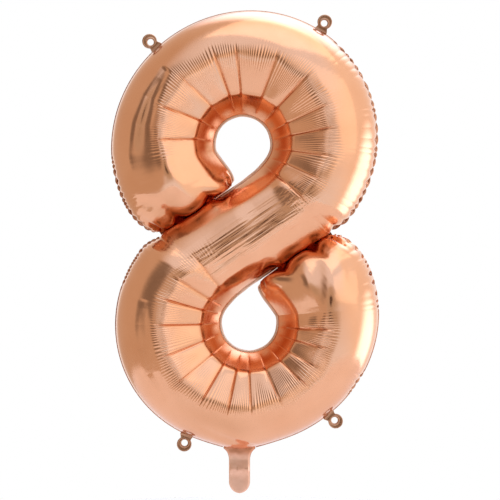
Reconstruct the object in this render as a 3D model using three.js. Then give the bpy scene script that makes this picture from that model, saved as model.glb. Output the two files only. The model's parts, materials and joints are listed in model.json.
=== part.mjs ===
// Foil number balloon in the shape of an 8, inflated, hanging by its two upper tabs.
// Millimetres. X points right, Z up, and the front of the balloon faces -Y.
// The seam between the front and back foil lies in the plane Y = 0.
// The origin is the midpoint between the holes of the two upper hanging tabs.
//
// The 8 is one bent tube: an arm that starts beside the waist, a loop round the upper hole,
// the slanting waist, a loop round the lower hole and a second arm. Each arm ends beside the waist
// at a slit. The lower half is the upper half turned 180 degrees about the waist, with a flatter lobe.
import * as THREE from "three";

// Driving dimensions of the tube.
const WAIST = new THREE.Vector2(15.6, -392);
const SLANT = 34.2; // rise of the waist from left to right, degrees
const WAIST_HALF_WIDTH = 85.4;
const WAIST_STRAIGHT = 44; // the seams beside the waist are straight this far past its middle
const HOLE_OFFSET = new THREE.Vector2(-6, 174.5); // from the waist to the upper hole
const HOLE_RADIUS = 57.3; // to the seam
const UPPER_LOBE = { radius: 255, shift: 4.4, shiftAt: 40, egg: 6.3, eggAt: 38, draw: 0 };
const LOWER_LOBE = { radius: 248.5, shift: 9.4, shiftAt: -63, egg: 7.7, eggAt: 26, draw: 7 };
const DRAW_AT = 85.7; // the lower lobe is drawn out towards the tail here, degrees
const DRAW_SPREAD = 11;
const DEPTH_RATIO = 0.47; // half depth of the tube over its width

// The end of each arm, measured along the waist and square to it.
const ARM_END = { inner: 36, outer: -141, gap: 16, bow: 6 };
const ARM_CAP = 0.8; // the arm rounds off over this share of its first bay

// Where each round seam hands over to a joining curve, in degrees round the hole,
// and how far that curve's handles reach, in X and Z. The edge is measured along the waist.
const HANDOVER = { armHole: 195, armLobe: 205, bendHole: -12, bendLobe: -34, edge: 130 };
const PULL = {
  innerCorner: new THREE.Vector2(0, 15),
  armHole: new THREE.Vector2(-9, 18),
  outerCorner: new THREE.Vector2(-22, 3),
  armLobe: new THREE.Vector2(-19, 41),
  bendHole: new THREE.Vector2(-5, -24),
  bendLobe: new THREE.Vector2(-11, -17),
};
const EDGE_PULL = { hole: 24, lobe: 16 };

// Foil and seals.
const FOIL = 0.45;
const SEAL_HALF = 0.45; // half thickness of the fused seal
const RIM = 0.9; // distance of each foil panel's rim from the seam plane
const SEAL_INSIDE = 3;
const OUTER_SEAL = 4;
const HOLE_SEAL = 5;
const WEB_FROM = -138; // the slit webs' two ends, measured along the waist
const WEB_TO = -19;
const WEB_CLEAR = 2; // between a slit web's inner end and the seam round the hole
const WEB_HOLES = { first: -30, step: -27, count: 4, radius: 1.6, side: 4.8 };

// Hanging tabs.
const TAB = { reach: 15.6, disc: 18.4, radius: 14.3, hole: 6.3, neck: 11, root: 13.5, gap: 0.6, fillet: 1.5 };

// Tail and valve.
const TAIL = { x: 2.9, top: -811, bottom: -898, half: 20.5, rootHalf: 31, flare: 24, round: 23 };
const FLARE_HANDLE = { x: 1, z: -6 }; // from the corner of the tail's root, where its flare turns down
const TAIL_CLEAR = 4; // between the tail's root and the outer seals on each side
const LOBE_FOOT = -700; // the seam below this height is the foot of the lower lobe
const TAIL_FILM_IN = 0.75;
const TAIL_FILM_OUT = 1.2;
const TAIL_SEAL = 3.5;
const TAIL_SEAL_INSET = 0.4; // the side seals stop this far inside the films' edges
const MOUTH_HALF = 7;
const VALVE = { half: 11.5, taper: 3, inner: 0.15, outer: 0.45 };
const VALVE_HEIGHTS = { top: -706, root: -806, start: -812, end: -886 };

// Steps along the bays of half the tube, and steps across the tube.
const BAY_STEPS = { arm: 8, ring: 18, bend: 8, waist: 2 };
const ACROSS = 10;

// Steps along the seals, the webs, the tail's outline and round the holes.
const OUTER_STEPS = { arm: 7, ring: 24, bend: 9 };
const HOLE_STEPS = { armEnd: 3, arm: 6, ring: 16, bend: 6 };
const OUTER_SEAL_FROM = 0.02; // share of the arm's bay where the outer seal starts
const OUTER_SEAL_TO = 0.66; // share of the bend where it ends, at the far slit
const WEB_STEPS = 8;
const TAIL_STEPS = 7;
const CURVE_STEPS = 10;
const PERFORATION_SIDES = 8;
const TAB_HOLE_SIDES = 20;

const rad = THREE.MathUtils.degToRad;
const ALONG = new THREE.Vector2(Math.cos(rad(SLANT)), Math.sin(rad(SLANT)));
const SQUARE = new THREE.Vector2(-ALONG.y, ALONG.x);

// A point given along the waist and square to it, in the frame whose origin is the waist.
function waistPoint(along, square) {
  return ALONG.clone().multiplyScalar(along).addScaledVector(SQUARE, square);
}

// An arc round the upper hole whose radius may vary with the angle.
class LoopArc extends THREE.Curve {
  constructor(radiusAt, from, to) {
    super();
    this.radiusAt = radiusAt;
    this.from = from;
    this.to = to;
  }

  getPoint(t, target = new THREE.Vector2()) {
    const angle = rad(THREE.MathUtils.lerp(this.from, this.to, t));
    const radius = this.radiusAt(angle);
    return target.set(Math.cos(angle), Math.sin(angle)).multiplyScalar(radius).add(HOLE_OFFSET);
  }
}

function lobeRadius(lobe) {
  return (angle) => {
    const shift = lobe.shift * Math.cos(angle - rad(lobe.shiftAt));
    const egg = lobe.egg * Math.cos(2 * (angle - rad(lobe.eggAt)));
    const draw = lobe.draw * Math.exp(-(((angle - rad(DRAW_AT)) / rad(DRAW_SPREAD)) ** 2));
    return lobe.radius + shift + egg + draw;
  };
}

function path(...curves) {
  const joined = new THREE.CurvePath();
  for (const curve of curves) joined.add(curve);
  return joined;
}

function line(a, b) {
  return new THREE.LineCurve(a, b);
}

// A smooth joining curve from a to b that leaves along aWay and arrives along bWay.
function join(a, aWay, b, bWay) {
  return new THREE.CubicBezierCurve(a, a.clone().add(aWay), b.clone().sub(bWay), b);
}

// The bays of half the tube, from the arm's end to the middle of the waist.
// Each bay holds the seam on the hole's side and the seam on the far side, in the waist's frame.
function halfBays(lobe) {
  const holeAt = () => HOLE_RADIUS;
  const lobeAt = lobeRadius(lobe);
  const innerCorner = waistPoint(ARM_END.inner, WAIST_HALF_WIDTH + ARM_END.gap);
  const outerCorner = waistPoint(ARM_END.outer, WAIST_HALF_WIDTH + ARM_END.gap);
  const holeArm = new LoopArc(holeAt, HANDOVER.armHole, 180);
  const lobeArm = new LoopArc(lobeAt, HANDOVER.armLobe, 180);
  const holeBend = new LoopArc(holeAt, 0, HANDOVER.bendHole);
  const lobeBend = new LoopArc(lobeAt, 0, HANDOVER.bendLobe);
  const upperEdge = waistPoint(WAIST_STRAIGHT, WAIST_HALF_WIDTH);
  const lowerEdgeOut = waistPoint(HANDOVER.edge, -WAIST_HALF_WIDTH);
  const lowerEdge = waistPoint(WAIST_STRAIGHT, -WAIST_HALF_WIDTH);
  const holePull = ALONG.clone().multiplyScalar(-EDGE_PULL.hole);
  const lobePull = ALONG.clone().multiplyScalar(-EDGE_PULL.lobe);
  return {
    arm: [
      path(join(innerCorner, PULL.innerCorner, holeArm.getPoint(0), PULL.armHole), holeArm),
      path(join(outerCorner, PULL.outerCorner, lobeArm.getPoint(0), PULL.armLobe), lobeArm),
    ],
    ring: [path(new LoopArc(holeAt, 180, 0)), path(new LoopArc(lobeAt, 180, 0))],
    bend: [
      path(holeBend, join(holeBend.getPoint(1), PULL.bendHole, upperEdge, holePull)),
      path(
        lobeBend,
        join(lobeBend.getPoint(1), PULL.bendLobe, lowerEdgeOut, lobePull),
        line(lowerEdgeOut, lowerEdge),
      ),
    ],
    waist: [
      path(line(upperEdge, waistPoint(0, WAIST_HALF_WIDTH))),
      path(line(lowerEdge, waistPoint(0, -WAIST_HALF_WIDTH))),
    ],
  };
}

const UPPER = { bays: halfBays(UPPER_LOBE), lobe: UPPER_LOBE, turn: 1 };
const LOWER = { bays: halfBays(LOWER_LOBE), lobe: LOWER_LOBE, turn: -1 };

// Where each hanging tab is rooted: an angle round its half's hole, and its lean, in degrees.
const TABS = [
  { name: "upper_left", half: UPPER, angle: 131.9, lean: 5 },
  { name: "upper_right", half: UPPER, angle: 55.5, lean: 9 },
  { name: "lower_left", half: LOWER, angle: 60.8, lean: 9 },
  { name: "lower_right", half: LOWER, angle: 131, lean: 9 },
];

// From the waist's frame of a half to the balloon's own frame.
function placed(half, point) {
  return point.clone().multiplyScalar(half.turn).add(WAIST);
}

// The arm's end seam bows towards the slit between its two corners.
function armEndBow(v) {
  return ARM_END.bow * (1 - (2 * v - 1) ** 2);
}

// One chord across the tube: its two seam points and how far the arm's end cap lifts it, 0 to 1.
// inset moves the arm's end inwards, for the inner side of the foil.
function chords(half, inset) {
  const found = [];
  const armLength = half.bays.arm[1].getLength();
  for (const [name, bay] of Object.entries(half.bays)) {
    const steps = BAY_STEPS[name];
    for (let i = found.length ? 1 : 0; i <= steps; i += 1) {
      let t = i / steps;
      let lift = 1;
      if (name === "arm") {
        const swing = Math.min(t / ARM_CAP, 1) * (Math.PI / 2);
        const start = inset / armLength;
        t = t < ARM_CAP ? start + (ARM_CAP - start) * (1 - Math.cos(swing)) : t;
        lift = Math.sin(swing);
      }
      found.push({ hole: bay[0].getPointAt(t), far: bay[1].getPointAt(t), lift, near: 1 - lift });
    }
  }
  return found;
}

// A row of points across the tube over one chord, at the side's sign of Y.
function rowAcross(half, chord, inset, side) {
  const across = chord.far.clone().sub(chord.hole);
  const width = across.length();
  across.normalize();
  const middle = chord.hole.clone().add(chord.far).multiplyScalar(0.5);
  const depth = (width * DEPTH_RATIO - inset) * chord.lift;
  const row = [];
  for (let j = 0; j <= ACROSS; j += 1) {
    const swing = (Math.PI * j) / ACROSS;
    const flat = middle.clone().addScaledVector(across, -(width / 2 - inset) * Math.cos(swing));
    const bow = armEndBow(j / ACROSS) * chord.near;
    const point = placed(half, flat.addScaledVector(SQUARE, -bow));
    row.push([point.x, side * (RIM + depth * Math.sin(swing)), point.y]);
  }
  return row;
}

// The whole tube's rows, from the upper arm's end to the lower arm's end.
function tubeRows(inset, side) {
  const upper = chords(UPPER, inset).map((chord) => rowAcross(UPPER, chord, inset, side));
  const lower = chords(LOWER, inset).map((chord) => rowAcross(LOWER, chord, inset, side).reverse());
  lower.pop();
  return [...upper, ...lower.reverse()];
}

// A thin shell between an outer and an inner grid of points, closed along its border.
function shell(outer, inner, flip) {
  const rows = outer.length;
  const columns = outer[0].length;
  const positions = [...outer.flat(), ...inner.flat()].flat();
  const at = (layer, i, j) => layer * rows * columns + i * columns + j;
  const index = [];
  const quad = (a, b, c, d) => index.push(...(flip ? [a, c, b, a, d, c] : [a, b, c, a, c, d]));
  for (let i = 0; i + 1 < rows; i += 1) {
    for (let j = 0; j + 1 < columns; j += 1) {
      quad(at(0, i, j), at(0, i, j + 1), at(0, i + 1, j + 1), at(0, i + 1, j));
      quad(at(1, i, j), at(1, i + 1, j), at(1, i + 1, j + 1), at(1, i, j + 1));
    }
    quad(at(0, i, 0), at(0, i + 1, 0), at(1, i + 1, 0), at(1, i, 0));
    quad(at(0, i + 1, columns - 1), at(0, i, columns - 1), at(1, i, columns - 1), at(1, i + 1, columns - 1));
  }
  for (let j = 0; j + 1 < columns; j += 1) {
    quad(at(0, 0, j + 1), at(0, 0, j), at(1, 0, j), at(1, 0, j + 1));
    quad(at(0, rows - 1, j), at(0, rows - 1, j + 1), at(1, rows - 1, j + 1), at(1, rows - 1, j));
  }
  const geometry = new THREE.BufferGeometry();
  geometry.setAttribute("position", new THREE.Float32BufferAttribute(positions, 3));
  geometry.setIndex(index);
  geometry.computeVertexNormals();
  return geometry;
}

function foilPanel(side) {
  return shell(tubeRows(0, side), tubeRows(FOIL, side), side < 0);
}

// A flat piece in the seam plane: a shape drawn in X and Z, between two values of Y.
function flatPiece(shape, from, to) {
  const settings = { depth: to - from, bevelEnabled: false, curveSegments: CURVE_STEPS };
  const geometry = new THREE.ExtrudeGeometry(shape, settings);
  geometry.rotateX(Math.PI / 2);
  geometry.translate(0, to, 0);
  return geometry;
}

function roundHole(centre, radius, sides) {
  const corners = Array.from({ length: sides }, (_, i) => {
    const angle = (-2 * Math.PI * i) / sides;
    return new THREE.Vector2(centre.x + radius * Math.cos(angle), centre.y + radius * Math.sin(angle));
  });
  return new THREE.Path(corners);
}

// The line moved sideways: to its right by a positive distance.
function offsetLine(points, distance) {
  return points.map((point, i) => {
    const before = points[Math.max(i - 1, 0)];
    const after = points[Math.min(i + 1, points.length - 1)];
    const a = point.clone().sub(before).normalize();
    const b = after.clone().sub(point).normalize();
    const way = a.clone().add(b).normalize();
    const stretch = Math.min(1 / Math.max(way.dot(i ? a : b), 0.6), 1.5);
    return point.clone().add(new THREE.Vector2(way.y, -way.x).multiplyScalar(distance * stretch));
  });
}

// A band of sealed foil along a seam, from its inside edge to its outside edge.
function sealBand(points, outside) {
  const shape = new THREE.Shape([
    ...offsetLine(points, outside),
    ...offsetLine(points, -SEAL_INSIDE * Math.sign(outside)).reverse(),
  ]);
  return flatPiece(shape, -SEAL_HALF, SEAL_HALF);
}

function sampled(curvePath, steps, from = 0, to = 1) {
  return Array.from({ length: steps + 1 }, (_, i) => {
    const share = THREE.MathUtils.lerp(from, to, i / steps);
    return curvePath.getPointAt(share);
  });
}

// A point of the arm's end seam, at a distance along the waist.
function armEndPoint(along) {
  const v = (along - ARM_END.inner) / (ARM_END.outer - ARM_END.inner);
  return waistPoint(along, WAIST_HALF_WIDTH + ARM_END.gap - armEndBow(v));
}

function armEndLine(from, to, steps) {
  return Array.from({ length: steps + 1 }, (_, i) => {
    const along = THREE.MathUtils.lerp(from, to, i / steps);
    return armEndPoint(along);
  });
}

function placedLine(half, points) {
  return points.map((point) => placed(half, point));
}

// The outer seam of a half, from the arm's outer corner to the far end of the other slit.
function outerSeam(half) {
  const { arm, ring, bend } = half.bays;
  return placedLine(half, [
    ...sampled(arm[1], OUTER_STEPS.arm, OUTER_SEAL_FROM, 1).slice(0, -1),
    ...sampled(ring[1], OUTER_STEPS.ring),
    ...sampled(bend[1], OUTER_STEPS.bend, 0, OUTER_SEAL_TO).slice(1),
  ]);
}

// The seam round a hole, from the open end of the slit on the arm's side round to its other side.
function holeSeam(half) {
  const { arm, ring, bend } = half.bays;
  return placedLine(half, [
    ...armEndLine(WEB_TO + WEB_CLEAR, ARM_END.inner - 1, HOLE_STEPS.armEnd),
    ...sampled(arm[0], HOLE_STEPS.arm).slice(0, -1),
    ...sampled(ring[0], HOLE_STEPS.ring),
    ...sampled(bend[0], HOLE_STEPS.bend).slice(1),
    waistPoint((WAIST_STRAIGHT + WEB_TO) / 2, WAIST_HALF_WIDTH),
    waistPoint(WEB_TO + WEB_CLEAR, WAIST_HALF_WIDTH),
  ]);
}

// The web that holds an arm's end to the waist, with a row of perforations along the slit.
function slitWeb(half) {
  const waistSide = [WEB_FROM, WEB_TO].map((along) => waistPoint(along, WAIST_HALF_WIDTH - SEAL_INSIDE));
  const armEnd = armEndLine(WEB_TO, WEB_FROM, WEB_STEPS);
  const armSide = armEnd.map((point) => point.addScaledVector(SQUARE, SEAL_INSIDE));
  const shape = new THREE.Shape(placedLine(half, [...waistSide, ...armSide]));
  for (let i = 0; i < WEB_HOLES.count; i += 1) {
    const along = WEB_HOLES.first + WEB_HOLES.step * i;
    const centre = placed(half, waistPoint(along, WAIST_HALF_WIDTH + WEB_HOLES.side));
    shape.holes.push(roundHole(centre, WEB_HOLES.radius, PERFORATION_SIDES));
  }
  return flatPiece(shape, -SEAL_HALF, SEAL_HALF);
}

// A hanging tab drawn with its root on the X axis and its disc along +Y, its root cut at a slope.
function tabShape(slope) {
  const shape = new THREE.Shape();
  const rootRise = TAB.root * slope;
  const wide = Math.asin(TAB.neck / TAB.radius);
  const shoulder = TAB.disc - TAB.radius * Math.cos(wide);
  shape.moveTo(TAB.root, TAB.gap + rootRise);
  shape.quadraticCurveTo(TAB.neck, TAB.gap + TAB.fillet + rootRise, TAB.neck, shoulder);
  shape.absarc(0, TAB.disc, TAB.radius, wide - Math.PI / 2, 1.5 * Math.PI - wide, false);
  shape.quadraticCurveTo(-TAB.neck, TAB.gap + TAB.fillet - rootRise, -TAB.root, TAB.gap - rootRise);
  shape.holes.push(roundHole(new THREE.Vector2(0, TAB.reach), TAB.hole, TAB_HOLE_SIDES));
  return shape;
}

// A tab rooted on the outer seal of a half, at an angle round that half's hole, leaning a little.
function hangingTab(half, angle, lean) {
  const geometry = flatPiece(tabShape(-Math.tan(rad(lean))), -SEAL_HALF, SEAL_HALF);
  const arc = new LoopArc(lobeRadius(half.lobe), angle, angle - 1);
  const way = placed(half, arc.getPoint(1)).sub(placed(half, arc.getPoint(0))).normalize();
  const outward = Math.atan2(way.x, -way.y);
  const root = placed(half, arc.getPoint(0));
  geometry.rotateY(rad(90 - lean) - outward);
  geometry.translate(root.x + OUTER_SEAL * Math.cos(outward), 0, root.y + OUTER_SEAL * Math.sin(outward));
  return geometry;
}

// The tail's outline, drawn in X and Z, narrower by inset on each side.
function tailSide(inset) {
  const side = new THREE.Path();
  const half = TAIL.half - inset;
  const roundTop = TAIL.bottom + TAIL.round;
  side.moveTo(TAIL.rootHalf - inset, TAIL.top);
  side.quadraticCurveTo(half + FLARE_HANDLE.x, TAIL.top + FLARE_HANDLE.z, half, TAIL.top - TAIL.flare);
  side.lineTo(half, roundTop);
  side.absellipse(0, roundTop, half, TAIL.round - inset, 0, -Math.PI / 2, true);
  return side.getPoints(TAIL_STEPS);
}

function mirrored(points) {
  return points.map((point) => new THREE.Vector2(-point.x, point.y)).reverse();
}

function shifted(points) {
  return points.map((point) => new THREE.Vector2(point.x + TAIL.x, point.y));
}

function tailFilm(from, to) {
  const right = tailSide(0);
  return flatPiece(new THREE.Shape(shifted([...right, ...mirrored(right).slice(1)])), from, to);
}

// The two side seals of the tail, each ending at the mouth left open in its rounded end.
function tailSeal(side) {
  const cut = (points) => points.filter((point) => point.x > MOUTH_HALF);
  const outline = [...cut(tailSide(TAIL_SEAL_INSET)), ...cut(tailSide(TAIL_SEAL)).reverse()];
  const points = side > 0 ? outline : mirrored(outline);
  return flatPiece(new THREE.Shape(shifted(points)), -SEAL_HALF, SEAL_HALF);
}

// A flat strip of valve film on the front or the back, between two heights, narrower at its top by taper.
function valveStrip(side, top, bottom, taper) {
  const topHalf = VALVE.half - taper;
  const corners = [
    new THREE.Vector2(-VALVE.half, bottom),
    new THREE.Vector2(VALVE.half, bottom),
    new THREE.Vector2(topHalf, top),
    new THREE.Vector2(-topHalf, top),
  ];
  const [from, to] = [side * VALVE.inner, side * VALVE.outer].sort((a, b) => a - b);
  return flatPiece(new THREE.Shape(shifted(corners)), from, to);
}

const roseGold = { color: 0xd99a78, metalness: 1, roughness: 0.22 };
const sealedFoil = { color: 0xb9755a, metalness: 0.9, roughness: 0.35 };
const valveFilm = { color: 0xe6cfc4, metalness: 0, roughness: 0.4 };

const balloon = new THREE.Group();

function addPart(name, geometry, finish) {
  const mesh = new THREE.Mesh(geometry, new THREE.MeshStandardMaterial(finish));
  mesh.name = name;
  balloon.add(mesh);
}

addPart("front_foil_panel", foilPanel(-1), roseGold);
addPart("back_foil_panel", foilPanel(1), roseGold);

// The lower outer seal is in two runs, because the tail's passage opens between them.
const lowerSeam = outerSeam(LOWER);
const tailReach = TAIL.rootHalf + TAIL_CLEAR;
const besideTail = (point) => Math.abs(point.x - TAIL.x) < tailReach && point.y < LOBE_FOOT;
const tailStart = lowerSeam.findIndex(besideTail);
const tailEnd = lowerSeam.findLastIndex(besideTail) + 1;
addPart("upper_outer_seal", sealBand(outerSeam(UPPER), -OUTER_SEAL), sealedFoil);
addPart("lower_right_outer_seal", sealBand(lowerSeam.slice(0, tailStart), -OUTER_SEAL), sealedFoil);
addPart("lower_left_outer_seal", sealBand(lowerSeam.slice(tailEnd), -OUTER_SEAL), sealedFoil);
addPart("upper_hole_seal", sealBand(holeSeam(UPPER), HOLE_SEAL), sealedFoil);
addPart("lower_hole_seal", sealBand(holeSeam(LOWER), HOLE_SEAL), sealedFoil);
addPart("upper_slit_web", slitWeb(UPPER), sealedFoil);
addPart("lower_slit_web", slitWeb(LOWER), sealedFoil);

for (const { name, half, angle, lean } of TABS) {
  addPart(`${name}_hanging_tab`, hangingTab(half, angle, lean), sealedFoil);
}

addPart("tail_front_film", tailFilm(-TAIL_FILM_OUT, -TAIL_FILM_IN), roseGold);
addPart("tail_back_film", tailFilm(TAIL_FILM_IN, TAIL_FILM_OUT), roseGold);
addPart("tail_left_seal", tailSeal(-1), sealedFoil);
addPart("tail_right_seal", tailSeal(1), sealedFoil);

for (const [face, side] of [["front", -1], ["back", 1]]) {
  const { top, root, start, end } = VALVE_HEIGHTS;
  addPart(`tail_valve_${face}_film`, valveStrip(side, start, end, 0), valveFilm);
  addPart(`inner_valve_${face}_film`, valveStrip(side, top, root, VALVE.taper), valveFilm);
}

export default balloon;
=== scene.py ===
# Inflated rose-gold foil balloon in the shape of an 8.
# Blender works in metres. The shapes below are drawn in millimetres, in the frame's X and Z, and a
# point's depth is its distance from the seam plane, Y = 0.
# The tube's outline is the CAD model's: two halves, each an arm, a ring round a hole, a bend and half
# of the waist. The lower half is drawn like the upper one and turned 180 degrees about the waist.
import functools
import json
import math
from collections import namedtuple

import bpy
import numpy as np
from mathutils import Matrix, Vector


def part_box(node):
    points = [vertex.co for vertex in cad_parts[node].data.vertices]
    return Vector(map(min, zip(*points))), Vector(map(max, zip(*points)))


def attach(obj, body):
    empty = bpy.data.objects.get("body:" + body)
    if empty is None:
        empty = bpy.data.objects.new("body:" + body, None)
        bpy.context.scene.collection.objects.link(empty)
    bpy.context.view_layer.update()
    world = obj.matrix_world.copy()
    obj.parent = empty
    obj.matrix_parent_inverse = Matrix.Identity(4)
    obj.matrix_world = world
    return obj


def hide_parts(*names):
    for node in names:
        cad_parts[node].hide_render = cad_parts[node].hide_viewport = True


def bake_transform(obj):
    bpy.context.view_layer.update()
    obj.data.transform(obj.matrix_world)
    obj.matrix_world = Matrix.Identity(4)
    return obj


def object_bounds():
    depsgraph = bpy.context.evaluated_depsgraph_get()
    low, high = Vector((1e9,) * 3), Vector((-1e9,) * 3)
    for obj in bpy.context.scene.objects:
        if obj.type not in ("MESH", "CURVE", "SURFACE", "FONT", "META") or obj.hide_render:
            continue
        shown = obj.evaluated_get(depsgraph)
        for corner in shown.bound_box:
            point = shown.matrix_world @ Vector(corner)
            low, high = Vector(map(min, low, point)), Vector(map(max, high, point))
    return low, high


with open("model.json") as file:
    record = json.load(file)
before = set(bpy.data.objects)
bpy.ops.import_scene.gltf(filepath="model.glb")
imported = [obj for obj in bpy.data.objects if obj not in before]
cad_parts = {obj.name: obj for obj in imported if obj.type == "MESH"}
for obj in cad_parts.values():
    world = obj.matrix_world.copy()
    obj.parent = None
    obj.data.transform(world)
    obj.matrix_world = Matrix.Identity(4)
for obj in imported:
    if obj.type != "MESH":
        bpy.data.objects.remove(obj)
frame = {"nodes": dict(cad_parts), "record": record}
cad_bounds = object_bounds()

MM = 0.001
RNG = np.random.default_rng(8)
ANY_PHASE = 6.28  # about a whole turn
NEAR_ZERO = 1e-9


def opening_middle(name):
    """The middle of a stated opening, in X and Z."""
    for opening in frame["record"]["physics"]["openings"]:
        if opening["name"] == name:
            low, high = np.array(opening["box_m"][0]), np.array(opening["box_m"][1])
            return (low + high)[[0, 2]] / 2 / MM
    raise ValueError(name)


def joint_place(child):
    """Where a body's joint is, in metres."""
    joint = next(j for j in frame["record"]["behaviour"]["joints"] if j["child"] == child)
    return np.array(joint["pos_m"])


# The tube, from the frame and the CAD model's driving dimensions.
UPPER_HOLE = opening_middle("upper_hole")
LOWER_HOLE = opening_middle("lower_hole")
WAIST = (UPPER_HOLE + LOWER_HOLE) / 2
HOLE_OFFSET = (UPPER_HOLE - LOWER_HOLE) / 2
SLANT = 34.2  # rise of the waist from left to right, degrees
WAIST_HALF_WIDTH = 85.4
WAIST_STRAIGHT = 44
HOLE_RADIUS = 57.3
UPPER_LOBE = {"radius": 255, "shift": 4.4, "shift_at": 40, "egg": 6.3, "egg_at": 38, "draw": 0}
LOWER_LOBE = {"radius": 248.5, "shift": 9.4, "shift_at": -63, "egg": 7.7, "egg_at": 26, "draw": 7}
DRAW_AT = 85.7  # the lower lobe is drawn out towards the tail here, degrees
DRAW_SPREAD = 11
DEPTH_RATIO = 0.47  # half depth of the tube over its width
RIM = 0.5  # depth of each panel's rim

# The end of each arm: its corners along the waist, the slit's width and how far the end bows out.
ARM_INNER = 36
ARM_OUTER = -141
ARM_GAP = 16
ARM_BOW = 6
ARM_CAP = 0.8  # the arm rounds off over this share of its bay
ARM_FULLNESS = 0.62  # below 1 the end is blunter than a plain round one

# Where each round seam hands over to a joining curve, in degrees, and the reach of that curve's handles.
HANDOVER = {"arm_hole": 195, "arm_lobe": 205, "bend_hole": -12, "bend_lobe": -34}
PULL = {
    "inner_corner": np.array([0, 15]),
    "arm_hole": np.array([-9, 18]),
    "outer_corner": np.array([-22, 3]),
    "arm_lobe": np.array([-19, 41]),
    "bend_hole": np.array([-5, -24]),
    "bend_lobe": np.array([-11, -17]),
}
EDGE_PULL = {"hole": -24, "lobe": -16}
LOBE_EDGE = 130  # along the waist, where its lower edge leaves the bend

# Points on the outline's curves.
ARC_POINTS = 300
RING_POINTS = 900
JOIN_POINTS = 80
EDGE_POINTS = 60
WAIST_POINTS = 20

# Grid of each panel: columns along each bay, and rows from the hole's seam to the far seam.
COLUMNS = {"arm": 120, "ring": 590, "bend": 205, "waist": 38}
ROWS = 52
ROW_CROWDING = 0.3

# The steep wall beside each hole's seam. The facets above it lie flat from a distance off the hole's
# middle, and turn round again near the ridge: the pairs are distances past it.
WALL_WIDTH = 36
WALL_SLOPE = 1.55
FLAT_FROM = 78
FLAT_ENDS = (-4, 18)
ROUND_STARTS = (-2, 7)
FACETS_FADE_IN = 14  # degrees past the first crease, and before the last
FACETS_FADE_OUT = 12

# Creases between the facets. Their lean sets in at an angle round the hole and grows from there.
CREASE_DEPTH = 2.6
CREASE_WIDTH = 1.3
CREASE_STARTS = (62, 76)
CREASE_ENDS = (-4, 20)
CREASE_LEAN = {"degrees": 4.5, "from": 40, "over": 100, "pivot": 72, "reach": 92, "limits": (-6, 8)}

# Fine gathers across the ridge: pitch, height, drifts of the pitch as size and waves a turn, and ends.
RIPPLE_PITCH = 4.3
RIPPLE_HEIGHT = 1.15
RIPPLE_DRIFTS = ((0.7, 9), (0.3, 23))
RIPPLE_END = 26
RIPPLE_END_VARIES = 5

# The outer seam: its puckers where it is smooth, how far the foil hides it, and how far in they reach.
SMOOTH_PUCKER = 0.04
SMOOTH_PITCH = 10.0
SEAM_OUT = 2.6
PUCKER_REACH = 16
FURROW_REACH = 26

# The slits: puffs along each arm's end, notches between them, and how far the foil swells over.
PUFFS = 5
NOTCH_DEPTH = 12
NOTCH_REACH = 27
SLIT_SWELL = 17
SLIT_SWELL_MIDDLE = 12
SLIT_SWELL_REACH = 30
SLIT_CONTACT = 0.4  # where arm and waist touch, as a share of the slit's width from the waist
SLIT_CLEARANCE = 0.2
PRESS_REACH = 30
WAIST_SWELL = 11
WAIST_SWELL_REACH = 20

# Painted shade, from 0 to 1, that deepens the colour of foil lying in folds and mirroring the foil beside
# it: strength, middle and half width.
POCKET_PAINTED_SHADE = (0.6, 76, 12)
WALL_PAINTED_SHADE = (0.95, 20, 12)
CREASE_PAINTED_SHADE = 0.8
WAIST_EDGE_PAINTED_SHADE = 0.5
# the deep orange that the painted shade mixes into the film's colour
PAINTED_SHADE_COLOUR = (0.56, 0.155, 0.04, 1)

Ridge = namedtuple("Ridge", "mean swell swell_at")
Puckers = namedtuple("Puckers", "start end depth pitch hidden")
Fold = namedtuple("Fold", "depth sharpness places")


def unit(degrees):
    return np.array([math.cos(math.radians(degrees)), math.sin(math.radians(degrees))])


ALONG = unit(SLANT)
SQUARE = np.array([-ALONG[1], ALONG[0]])


def waist_point(along, square):
    return ALONG * along + SQUARE * square


def waist_frame(plan):
    """How far each point is from the waist's middle, along the waist and square to it."""
    from_waist = plan - WAIST
    return from_waist @ ALONG, from_waist @ SQUARE


def smooth(value, low, high):
    """0 below low, 1 above high, with a smooth rise between."""
    t = np.clip((value - low) / (high - low), 0, 1)
    return t * t * (3 - 2 * t)


def hill(value, middle, half_width):
    """1 at the middle, falling away smoothly on both sides."""
    return np.exp(-(((value - middle) / half_width) ** 2))


# ---- outline curves

def arc(radius_at, start, end, count=ARC_POINTS):
    angles = np.radians(np.linspace(start, end, count))
    around = np.stack([np.cos(angles), np.sin(angles)], axis=1)
    return HOLE_OFFSET + radius_at(angles)[:, None] * around


def join(a, a_way, b, b_way):
    """A smooth curve from a to b that leaves along a_way and arrives along b_way."""
    t = np.linspace(0, 1, JOIN_POINTS)[:, None]
    return (
        (1 - t) ** 3 * a
        + 3 * (1 - t) ** 2 * t * (a + a_way)
        + 3 * (1 - t) * t**2 * (b - b_way)
        + t**3 * b
    )


def joined(*lines):
    return np.concatenate([lines[0]] + [line[1:] for line in lines[1:]])


def lengths(line):
    steps = np.linalg.norm(np.diff(line, axis=0), axis=1)
    return np.concatenate([[0], np.cumsum(steps)])


def at_shares(line, shares):
    """Points at the given shares, 0 to 1, of the line's length."""
    reach = lengths(line)
    wanted = np.asarray(shares) * reach[-1]
    return np.stack([np.interp(wanted, reach, line[:, k]) for k in range(2)], axis=1)


def evenly(line, step):
    """The line again, in even steps of about the given length."""
    return at_shares(line, np.linspace(0, 1, int(lengths(line)[-1] / step)))


def right_of(line):
    """Unit vectors square to a line, to the right as it runs."""
    tangent = np.gradient(line, axis=0)
    tangent /= np.linalg.norm(tangent, axis=1, keepdims=True)
    return np.stack([tangent[:, 1], -tangent[:, 0]], axis=1)


def hole_radius(angles):
    return np.full_like(angles, HOLE_RADIUS)


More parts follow.
